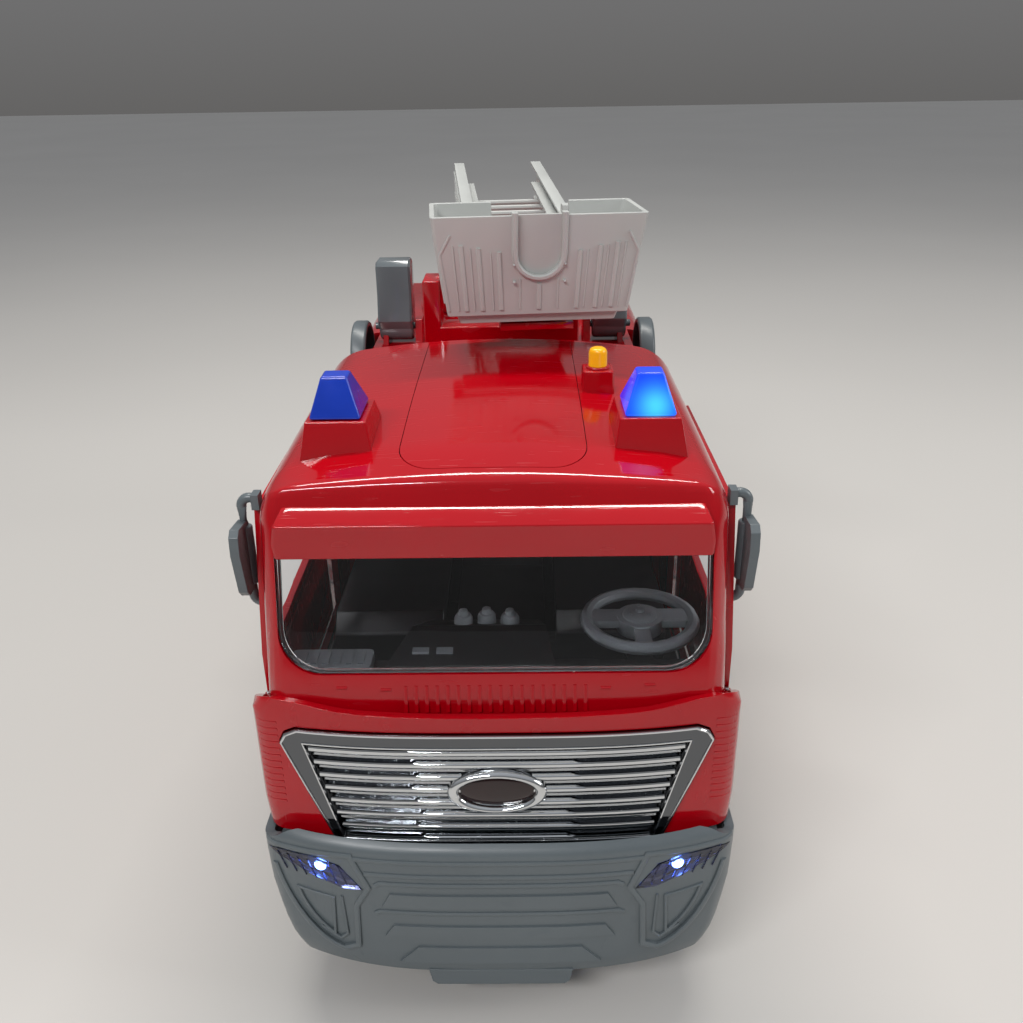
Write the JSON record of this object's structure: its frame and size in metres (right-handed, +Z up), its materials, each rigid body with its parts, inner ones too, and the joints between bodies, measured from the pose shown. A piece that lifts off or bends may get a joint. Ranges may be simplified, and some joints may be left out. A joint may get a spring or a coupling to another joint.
{
  "type": "toy fire engine",
  "caption": "Toy fire engine with opening cab doors, free-rolling wheels, sprung horn button and a turntable ladder that raises and extends a levelled rescue bucket.",
  "frame": {"origin": "on the floor under the middle of the truck's overall length and width", "axes": "+Z up, -Y towards the front bumper, +X towards the truck's own left side"},
  "size_m": [0.151, 0.355, 0.228],
  "materials": {
    "red_abs": "moulded gloss red ABS",
    "grey_abs": "moulded semi-matt grey ABS",
    "dark_abs": "moulded satin black-grey ABS",
    "light_abs": "moulded satin light grey ABS",
    "hub_abs": "silver-grey moulded ABS",
    "chrome_plate": "vacuum-metallised bright plating",
    "smoke_ps": "smoked polystyrene",
    "clear_ps": "clear polystyrene",
    "blue_ps": "translucent blue polystyrene",
    "red_ps": "translucent red polystyrene",
    "yellow_abs": "moulded yellow ABS",
    "steel": "drawn steel",
    "tyre_rubber": "moulded black PVC tyre",
    "circuit": "solder-masked board",
    "cell_jacket": "printed cell jacket with no lettering"
  },
  "bodies": {
    "truck": {"cab_shell": "red_abs", "roof_panel": "red_abs", "sun_visor": "red_abs", "windscreen": "clear_ps", "lower_front_panel": "red_abs", "grille": "chrome_plate", "badge_insert": "smoke_ps", "bumper": "grey_abs", "button_spring": "steel", "button_switch": "dark_abs", "cab_floor": "dark_abs", "dashboard": "grey_abs", "chassis": "dark_abs", "cover_screw": "steel", "battery_cover": "dark_abs", "rear_body": "red_abs", "ladder_rest": "red_abs", "rear_step": "grey_abs", "speaker": "dark_abs", "circuit_board": "circuit", "battery_pack": "cell_jacket", "bench_seat": "dark_abs", "headlamp_board": "circuit", "beacon_board": "circuit", "headlamp_lens_left": "clear_ps", "beacon_lens_left": "blue_ps", "door_pin_left": "steel", "tail_lamp_left": "red_ps", "headlamp_lens_right": "clear_ps", "beacon_lens_right": "blue_ps", "door_pin_right": "steel", "tail_lamp_right": "red_ps"},
    "door_left": {"door_left": "red_abs", "mirror_arm_left": "grey_abs"},
    "mirror_left": {"mirror_head_left": "grey_abs"},
    "arm_left": {"support_arm_left": "grey_abs"},
    "reel_left": {"hose_reel_left": "grey_abs"},
    "door_right": {"door_right": "red_abs", "mirror_arm_right": "grey_abs"},
    "mirror_right": {"mirror_head_right": "grey_abs"},
    "arm_right": {"support_arm_right": "grey_abs"},
    "reel_right": {"hose_reel_right": "grey_abs"},
    "front_wheels": {"front_axle": "steel", "tyre_front_left": "tyre_rubber", "tyre_front_right": "tyre_rubber", "hub_front_left": "hub_abs", "hub_front_right": "hub_abs"},
    "rear_wheels": {"rear_axle": "steel", "tyre_rear_left": "tyre_rubber", "tyre_rear_right": "tyre_rubber", "hub_rear_left": "hub_abs", "hub_rear_right": "hub_abs"},
    "steering": {"steering_wheel": "grey_abs"},
    "horn": {"horn_button": "yellow_abs"},
    "turntable": {"turret": "red_abs", "turret_pin": "steel"},
    "ladder": {"ladder_base": "light_abs"},
    "extension": {"ladder_extension": "light_abs"},
    "carrier": {"bucket_bracket": "red_abs"},
    "bucket": {"rescue_bucket": "light_abs"}
  },
  "joints": [
    {"name": "front_wheel_spin", "type": "hinge", "parent": "truck", "child": "front_wheels", "pos_m": [0, -0.0955, 0.032], "axis": [1, 0, 0], "continuous": true},
    {"name": "rear_wheel_spin", "type": "hinge", "parent": "truck", "child": "rear_wheels", "pos_m": [0, 0.0945, 0.032], "axis": [1, 0, 0], "continuous": true},
    {"name": "steering_turn", "type": "hinge", "parent": "truck", "child": "steering", "pos_m": [0.0438, -0.1305, 0.117], "axis": [0, 0, 1], "continuous": true},
    {"name": "horn_press", "type": "slide", "parent": "truck", "child": "horn", "axis": [0, 0, -1], "range_m": [0, 0.002], "stiffness_N_per_m": 350, "springref_m": -0.0004, "deforming": ["button_spring"]},
    {"name": "turntable_turn", "type": "hinge", "parent": "truck", "child": "turntable", "pos_m": [0, 0.1125, 0.16], "axis": [0, 0, 1], "continuous": true},
    {"name": "ladder_raise", "type": "hinge", "parent": "turntable", "child": "ladder", "pos_m": [-0.00105, 0.12445, 0.198], "axis": [-0.9962, -0.0872, 0], "range_deg": [0, 60]},
    {"name": "ladder_extend", "type": "slide", "parent": "ladder", "child": "extension", "axis": [0.0869, -0.9934, -0.075], "range_m": [-0.018, 0.026]},
    {"name": "bucket_level", "type": "hinge", "parent": "extension", "child": "carrier", "pos_m": [0.01042, -0.00654, 0.19965], "axis": [-0.9962, -0.0872, 0], "range_deg": [-60, 0]},
    {"name": "bucket_swivel", "type": "hinge", "parent": "carrier", "child": "bucket", "pos_m": [0.01325, -0.03892, 0.1915], "axis": [0, 0, 1], "range_deg": [-20, 20]},
    {"name": "door_left_open", "type": "hinge", "parent": "truck", "child": "door_left", "pos_m": [0.0684, -0.148, 0.09], "axis": [0, 0, -1], "range_deg": [0, 60]},
    {"name": "mirror_left_swing", "type": "hinge", "parent": "door_left", "child": "mirror_left", "pos_m": [0.0728, -0.135, 0.143], "axis": [0, 0, 1], "range_deg": [0, 75]},
    {"name": "arm_left_fold", "type": "hinge", "parent": "truck", "child": "arm_left", "pos_m": [0.047, 0.0415, 0.167], "axis": [-1, 0, 0], "range_deg": [0, 75]},
    {"name": "reel_left_spin", "type": "hinge", "parent": "truck", "child": "reel_left", "pos_m": [0.06, 0.0375, 0.153], "axis": [1, 0, 0], "continuous": true},
    {"name": "door_right_open", "type": "hinge", "parent": "truck", "child": "door_right", "pos_m": [-0.0684, -0.148, 0.09], "axis": [0, 0, 1], "range_deg": [0, 60]},
    {"name": "mirror_right_swing", "type": "hinge", "parent": "door_right", "child": "mirror_right", "pos_m": [-0.0728, -0.135, 0.143], "axis": [0, 0, -1], "range_deg": [0, 75]},
    {"name": "arm_right_fold", "type": "hinge", "parent": "truck", "child": "arm_right", "pos_m": [-0.047, 0.0415, 0.167], "axis": [-1, 0, 0], "range_deg": [0, 75]},
    {"name": "reel_right_spin", "type": "hinge", "parent": "truck", "child": "reel_right", "pos_m": [-0.06, 0.0375, 0.153], "axis": [1, 0, 0], "continuous": true}
  ],
  "couplings": [
    {"joint": "bucket_level", "follows": "ladder_raise", "ratio": -1}
  ]
}
